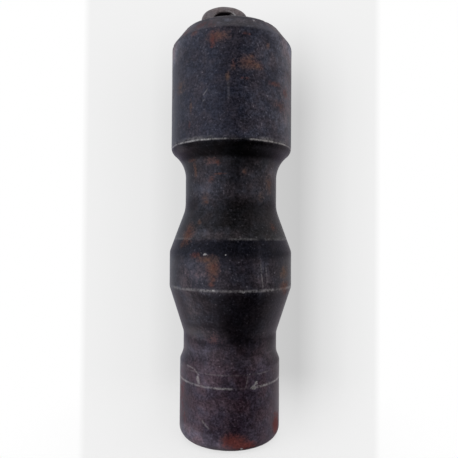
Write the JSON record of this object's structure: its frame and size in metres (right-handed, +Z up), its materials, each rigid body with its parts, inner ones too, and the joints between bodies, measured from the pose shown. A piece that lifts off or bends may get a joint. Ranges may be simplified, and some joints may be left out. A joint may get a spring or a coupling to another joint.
{
  "type": "tractor pin",
  "caption": "Turned steel hitch pin with a wide seat for a towing eye, a lower guide, a long upper barrel and a forged lifting eye on top.",
  "frame": {"origin": "centre of the flat lower end face, which the pin stands on", "axes": "+Z up along the turned axis towards the lifting eye, +Y along the eye's slot, away from the side that the picture shows"},
  "size_m": [0.038, 0.038, 0.1334],
  "materials": {
    "blackened_steel": "satin blue-black oxide with spots of rust and edges worn bright"
  },
  "bodies": {
    "root": {"coupling_pin": "blackened_steel"}
  },
  "joints": []
}
